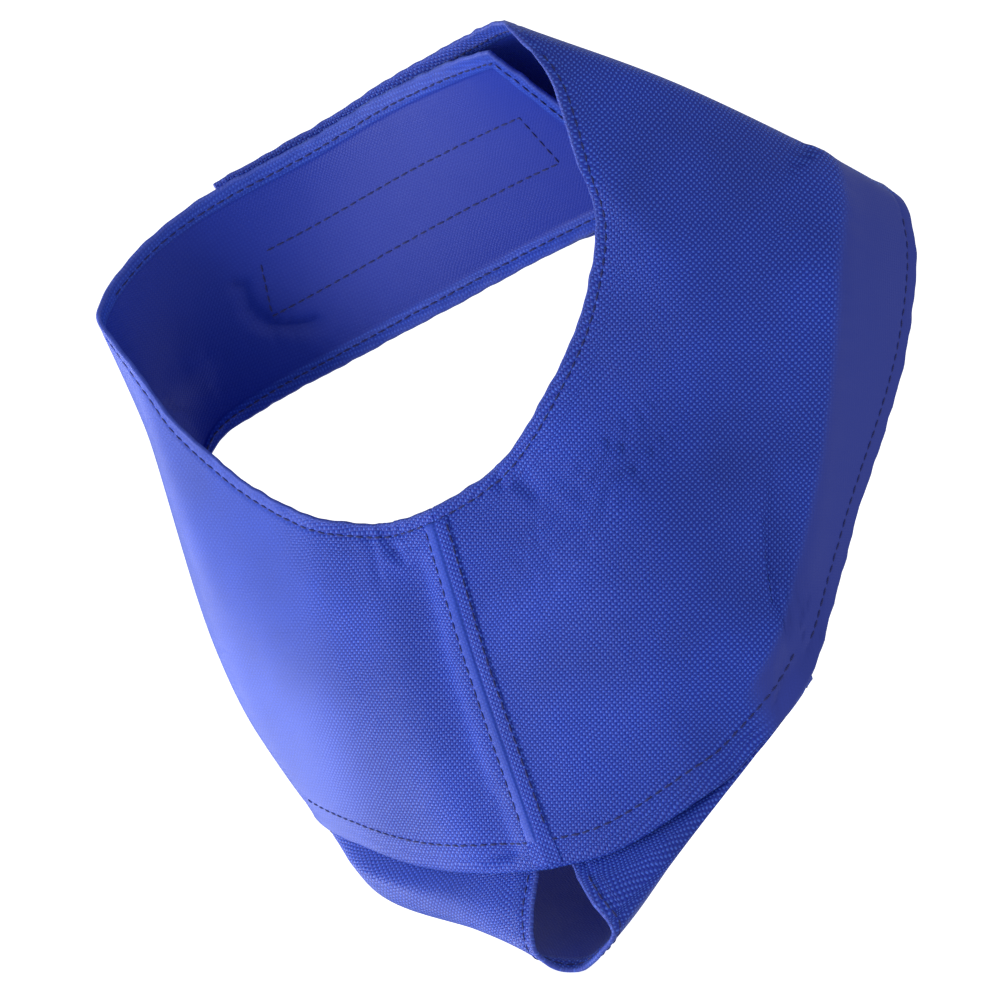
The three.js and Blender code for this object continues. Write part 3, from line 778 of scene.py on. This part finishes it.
class HOOD_OT_chin_cloth(bpy.types.Operator):
    """Makes the chin band that hangs below the lower seam"""

    bl_idname = "hood.chin_cloth"
    bl_label = "Chin band"

    def execute(self, context):
        look = context.scene.hood_look
        along = np.linspace(0, 1, 401)
        t = spread(1, EDGE_ROWS * BAND_SHARE, EDGE_ROWS * BAND_SHARE, 50)
        left_edge = self.tucked(LEFT_STATIONS, LEFT, t)
        right_edge = self.tucked(RIGHT_STATIONS, RIGHT, t)
        free = np.einsum("tk,kmc->tmc", spline_weights(len(CHIN_ROWS), t), CHIN_ROWS)
        across = np.concatenate([left_edge, free, right_edge[:, ::-1]], 1)
        dense = np.einsum("sk,tkc->stc", spline_weights(across.shape[1], along), across)
        middle = walked(dense[:, len(t) // 2])
        s = np.interp(np.linspace(0, middle[-1], 150), middle, along)
        points = np.einsum("sk,tkc->stc", spline_weights(across.shape[1], s), across)
        hem = (look.hem_width, EDGE_ROWS[HEM_ROW], np.ones(points.shape[:2]))
        cloth = Cloth(points, CHIN, look.fabric_thickness, (hem, hem, None, None))
        cloths["chin_cloth"] = cloth
        piece = cloth.object("chin_cloth", math.radians(12))
        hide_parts("chin_band")
        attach(piece, "hood")
        return {"FINISHED"}

    def tucked(self, panel, side, t):
        """The two columns of the band that are sewn inside a panel: higher up it and at its lower edge."""
        along = SLOT_START + (CHEEK_CORNER - SLOT_START) * t
        rows = np.tile([CHIN_TUCK, 1.0], (len(t), 1))
        step = 0.01
        ahead = surface_points(panel, along + step, rows) - surface_points(panel, along - step, rows)
        down = surface_points(panel, along, rows) - surface_points(panel, along, rows - step)
        normal = unit(np.cross(ahead, down)) * side
        return surface_points(panel, along, rows) - normal * TUCK_DEPTH


class HOOD_OT_seam_strip(bpy.types.Operator):
    """Makes the folded strip that is lapped over the centre seam"""

    bl_idname = "hood.seam_strip"
    bl_label = "Centre seam strip"

    def execute(self, context):
        look = context.scene.hood_look
        right, left = cloths["right_cloth"], cloths["left_cloth"]
        rows = right.outer.shape[1]
        # Across the strip: its left edge, the bright turned fold, the line where that meets the rest, its right edge.
        places = np.array([-3.1, -2.9, -2.5, -2.0, -1.4, -0.8, -0.45, -0.25, 0.1, 0.6, 1.4, 2.2, 2.8, 3.2, 3.4])
        places *= look.seam_width / 6  # they were drawn for a strip 6 mm wide
        lift = np.array([0.05, 0.28, 0.42, 0.5, 0.54, 0.52, 0.42, 0.16, 0.34, 0.42, 0.44, 0.42, 0.38, 0.26, 0.05]) * MM
        points = np.zeros((len(places), rows, 3))
        normal = np.zeros_like(points)
        for k, place in enumerate(places):
            cloth = right if place > 0 else left
            for j in range(rows):
                i = np.interp(abs(place), cloth.along[:12, j] + 0.15 * MM, np.arange(12))
                points[k, j] = cloth.at(cloth.outer, np.array([i]), np.array([float(j)]))[0]
                normal[k, j] = cloth.at(cloth.normals, np.array([i]), np.array([float(j)]))[0]
        normal = unit(normal)
        # Over the lower band the strip is turned in with the panels, so it lies plain and low.
        on_band = np.zeros(rows)
        on_band[-1 - BAND_ROW:] = 1
        lifts = lift[:, None] * (1 - on_band) + 0.22 * MM * on_band
        outer = points + normal * lifts[..., None]
        inner = points - normal * 0.1 * MM
        below_hem = slice(HEM_ROW + 1, -2)
        outer, inner, normal = outer[:, below_hem], inner[:, below_hem], normal[:, below_hem]
        strip_points, faces, loop = shell(outer, inner, pushed_rim(outer, inner), RIGHT)
        down = walked(outer) / MM
        uv = np.stack([np.tile(places[:, None] / MM, (1, outer.shape[1])), down], -1).reshape(-1, 2)
        turned = (np.where(places < -0.2 * MM, 1.0, 0.0)[:, None] * (1 - on_band[None, below_hem])).ravel()
        piece = mesh_object("seam_strip", strip_points, faces, material_for("cloth"),
                            np.concatenate([uv, uv, uv[loop]]),
                            smooth=np.concatenate([turned, turned, turned[loop]]))
        cloths["seam_strip"] = (outer, normal)
        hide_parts("centre_seam_fold")
        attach(piece, "hood")
        return {"FINISHED"}


class HOOD_OT_tapes(bpy.types.Operator):
    """Makes the loop tape on the inner strap and the hook tape in the outer strap"""

    bl_idname = "hood.tapes"
    bl_label = "Fastening tapes"

    def execute(self, context):
        tapes = (
            ("loop_tape_ground", "loop_tape", "left_cloth", "inner_strap_body", 1, LOOP_TAPE, "loops"),
            ("hook_tape_ground", "hook_tape", "right_cloth", "outer_strap_body", -1, HOOK_TAPE, "hooks"),
        )
        for name, node, cloth_name, body, face, (s0, s1), pile in tapes:
            cloth = cloths[cloth_name]
            columns = np.interp(1 + np.linspace(s0, s1, 70), cloth.shares, np.arange(len(cloth.shares)))
            rows = np.linspace(*TAPE_SPAN, 24) * (cloth.outer.shape[1] - 1)
            i, j = np.meshgrid(columns, rows, indexing="ij")
            source = cloth.outer if face > 0 else cloth.inner
            ground = cloth.at(source, i.ravel(), j.ravel()).reshape(*i.shape, 3)
            normal = unit(cloth.at(cloth.normals, i.ravel(), j.ravel())).reshape(*i.shape, 3) * face
            outer = ground + normal * 0.55 * MM
            inner = ground + normal * 0.05 * MM
            points, faces, _ = shell(outer, inner, pushed_rim(outer, inner), cloth.side * face)
            piece = mesh_object(name, points, faces, material_for("tape"))
            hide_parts(node)
            standing = mesh_object(name + "_" + pile, *self.pile(outer, normal, pile), material_for("tape"))
            for one in (piece, standing):
                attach(one, body)
        return {"FINISHED"}

    def pile(self, ground, normal, kind):
        """Rows of small stiff hooks, or of looser loops turned every way, standing on the tape."""
        chance = np.random.default_rng(7)
        points, faces = [], []
        for a in range(1, ground.shape[0] - 1, 2):
            for b in range(1, ground.shape[1] - 1):
                up = normal[a, b]
                ahead = unit(ground[a + 1, b] - ground[a - 1, b])
                turn = chance.uniform(0, 2 * math.pi) if kind == "loops" else math.pi * (b % 2)
                side = np.cross(up, ahead)
                lean = ahead * math.cos(turn) + side * math.sin(turn)
                wide = np.cross(up, lean) * 0.09 * MM
                if kind == "loops":
                    path = [(-0.3, -0.1), (-0.32, 0.3), (0, 0.45), (0.32, 0.3), (0.3, -0.1)]
                else:
                    path = [(0, -0.1), (0, 0.25), (0.15, 0.45), (0.38, 0.42), (0.45, 0.25)]
                base = ground[a, b] + side * chance.uniform(-0.1, 0.1) * MM
                first = len(points)
                for x, z in path:
                    centre = base + (lean * x + up * z) * MM
                    points += [centre - wide, centre + wide, centre + up * 0.07 * MM + lean * 0.05 * MM]
                for k in range(len(path) - 1):
                    for c in range(3):
                        d = (c + 1) % 3
                        low = first + 3 * k
                        faces.append((low + c, low + d, low + 3 + d, low + 3 + c))
        return np.array(points), np.array(faces)


def walked_to(place, length, values):
    """The values at a distance walked along a path."""
    return np.array([np.interp(place, length, values[:, c]) for c in range(3)])


def stitch_mesh(name, rows, node, body):
    """Small thread stitches along each row: points, normals out of the cloth, the share of a stitch that it starts
    at, and the length that is left bare at its end."""
    look = bpy.context.scene.hood_look
    chance = np.random.default_rng(len(name) * 31 + 5)
    sides, rings = 6, 5
    points, faces = [], []
    around = np.arange(sides) * 2 * math.pi / sides
    for path, normals, start, leave in rows:
        length = walked(path)
        pitch = look.stitch_pitch
        begin = start * pitch
        while begin + pitch < length[-1] - leave:
            long = pitch * chance.uniform(0.8, 0.92)
            drift = chance.uniform(-0.09, 0.09) * MM
            first = len(points)
            for k in range(rings):
                f = k / (rings - 1)
                place = begin + f * long
                centre = walked_to(place, length, path)
                ahead = unit(walked_to(place + 0.1 * MM, length, path) - walked_to(place - 0.1 * MM, length, path))
                up = unit(walked_to(place, length, normals))
                side = np.cross(up, ahead)
                bow = math.sin(math.pi * f)
                radius = look.thread_width / 2 * (0.45 + 0.55 * bow ** 0.5)
                centre = centre + up * (0.16 * bow - 0.1) * MM + side * drift * (f - 0.5) * 2
                ring = centre + radius * (np.cos(around)[:, None] * side + 0.85 * np.sin(around)[:, None] * up)
                points.extend(ring)
            for k in range(rings - 1):
                for c in range(sides):
                    d = (c + 1) % sides
                    faces.append((first + sides * k + c, first + sides * k + sides + c,
                                  first + sides * k + sides + d, first + sides * k + d))
            last = first + sides * (rings - 1)
            for half in ((0, 1, 2, 3), (0, 3, 4, 5)):
                faces.append(tuple(first + c for c in half))
                faces.append(tuple(last + c for c in half[::-1]))
            begin += pitch
    piece = mesh_object(name, np.array(points), np.array(faces), material_for("thread"))
    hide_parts(node)
    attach(piece, body)


class HOOD_OT_stitches(bpy.types.Operator):
    """Sews every hem, seam and tape with short thread stitches"""

    bl_idname = "hood.stitches"
    bl_label = "Stitches"

    def execute(self, context):
        look = context.scene.hood_look
        for word, body in (("right", "outer_strap_body"), ("left", "inner_strap_body")):
            cloth = cloths[word + "_cloth"]
            fold = cloth.fold
            corner = int(np.searchsorted(cloth.shares, CHEEK_CORNER))
            panel = slice(0, fold - 3)
            self.sew("neck_hem_stitches_" + word, cloth, (panel, HEM_ROW), "neck_hem_thread_" + word, "hood")
            self.sew("lower_seam_stitches_" + word, cloth, (slice(2, corner + 1), -1 - BAND_ROW),
                     "lower_seam_thread_" + word, "hood")
            self.sew("cheek_hem_stitches_" + word, cloth, (slice(corner + 2, fold - 3), -1 - HEM_ROW),
                     "cheek_hem_thread_" + word, "hood")
            strap = ("outer" if word == "right" else "inner") + "_strap_hem"
            end = cloth.outer.shape[0] - 1 - HEM_ROW
            rows = cloth.outer.shape[1]
            start = float(fold + 8)
            i = np.concatenate([np.arange(start, end), np.full(rows - 2 * HEM_ROW, end), np.arange(end, start, -1)])
            j = np.concatenate([np.full(int(end - start), HEM_ROW), np.arange(HEM_ROW, rows - HEM_ROW),
                                np.full(int(end - start), rows - 1 - HEM_ROW)])
            self.sew_path(strap + "_stitches", cloth, i, j.astype(float), strap + "_thread", body)
            tape, (s0, s1) = ("hook_tape", HOOK_SEWING) if word == "right" else ("loop_tape", LOOP_SEWING)
            a, b = np.interp([1 + s0, 1 + s1], cloth.shares, np.arange(len(cloth.shares)))
            top, bottom = (share * (rows - 1) for share in TAPE_SEWING)
            side = np.linspace(0, 1, 60)
            i = np.concatenate([a + (b - a) * side, np.full(60, b), b + (a - b) * side, np.full(60, a)])
            j = np.concatenate([np.full(60, top), top + (bottom - top) * side, np.full(60, bottom),
                                bottom + (top - bottom) * side])
            self.sew_path(tape + "_stitches", cloth, i, j, tape + "_thread", body)
        outer, normal = cloths["seam_strip"]
        for word, column in (("right", -3), ("left", 1)):
            path, lifted = outer[column], normal[column]
            stitch_mesh("centre_seam_stitches_" + word, [(path, lifted, 0.6, look.band_width + 1.2 * MM)],
                        "centre_seam_thread_" + word, "hood")
        chin = cloths["chin_cloth"]
        for word, row in (("nose", HEM_ROW), ("throat", -1 - HEM_ROW)):
            self.sew(word + "_hem_stitches", chin, (slice(5, -5), row), word + "_hem_thread", "hood")
        return {"FINISHED"}

    def sew(self, name, cloth, place, node, body):
        """A row of stitches along a row of the cloth, on both faces."""
        self.sew_faces(name, cloth.outer[place], cloth.inner[place], cloth.normals[place], node, body)

    def sew_path(self, name, cloth, i, j, node, body):
        """A row of stitches through fractional columns and rows of the cloth, on both faces."""
        self.sew_faces(name, *(cloth.at(face, i, j) for face in (cloth.outer, cloth.inner, cloth.normals)), node, body)

    def sew_faces(self, name, outer, inner, normals, node, body):
        """The same row on two faces, half a stitch apart."""
        stitch_mesh(name, [(outer, normals, 0.3, 0), (inner, -normals, 0.8, 0)], node, body)


class HOOD_OT_cut_sizes(bpy.types.Operator):
    """Does nothing: no cut sizes are stated"""

    bl_idname = "hood.cut_sizes"
    bl_label = "Cut sizes"

    def execute(self, context):
        return {"FINISHED"}


class HOOD_PT_panel(bpy.types.Panel):
    """Lists the hood's pieces, sizes and colours"""

    bl_idname = "HOOD_PT_panel"
    bl_label = "Face Hood"
    bl_space_type = "VIEW_3D"
    bl_region_type = "UI"
    bl_category = "Face Hood"

    def draw(self, context):
        for step in STEPS:
            self.layout.operator(step.bl_idname)
        for name in HOOD_PG_look.__annotations__:
            self.layout.prop(context.scene.hood_look, name)


STEPS = (HOOD_OT_stage, HOOD_OT_face_cloths, HOOD_OT_chin_cloth, HOOD_OT_seam_strip, HOOD_OT_tapes, HOOD_OT_stitches,
         HOOD_OT_cut_sizes)
CLASSES = (HOOD_PG_look,) + STEPS + (HOOD_PT_panel,)


def register():
    for one in CLASSES:
        bpy.utils.register_class(one)
    bpy.types.Scene.hood_look = PointerProperty(type=HOOD_PG_look)


def unregister():
    del bpy.types.Scene.hood_look
    for one in reversed(CLASSES):
        bpy.utils.unregister_class(one)


def main():
    register()
    bpy.ops.hood.stage()
    bpy.ops.hood.face_cloths()
    bpy.ops.hood.chin_cloth()
    bpy.ops.hood.seam_strip()
    bpy.ops.hood.tapes()
    bpy.ops.hood.stitches()
    bpy.ops.hood.cut_sizes()


if __name__ == "__main__":
    main()
